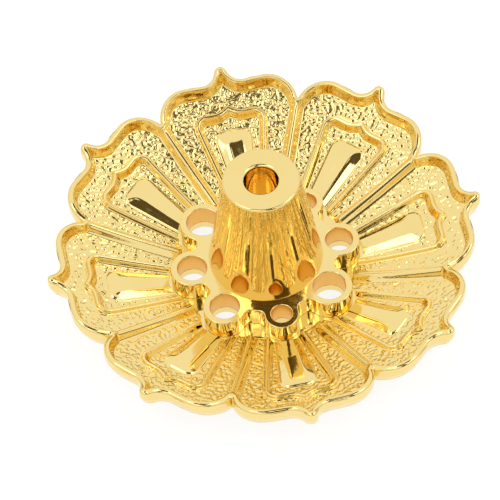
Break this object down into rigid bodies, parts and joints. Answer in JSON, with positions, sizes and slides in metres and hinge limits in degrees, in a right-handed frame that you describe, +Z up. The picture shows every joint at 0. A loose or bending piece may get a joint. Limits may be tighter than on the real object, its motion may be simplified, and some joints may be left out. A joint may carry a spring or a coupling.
{
  "type": "incense stick holder",
  "caption": "Lotus-shaped incense stick holder: a shallow dish of pointed petals with a collar of round stick sockets in several sizes and a raised centre cone with its own bore.",
  "frame": {"origin": "centre of the dish on the table under the foot ring", "axes": "+Z up along the cone; -Y to the petal with the small front socket; +X to the right"},
  "size_m": [0.0668, 0.0668, 0.0241],
  "materials": {
    "gold_plate": "mirror-polished gold plate",
    "zinc_steel": "zinc-plated"
  },
  "bodies": {
    "root": {"petal_dish": "gold_plate", "socket_collar": "gold_plate", "centre_cone": "gold_plate", "fixing_screw": "zinc_steel", "screw_washer": "zinc_steel"}
  },
  "joints": []
}
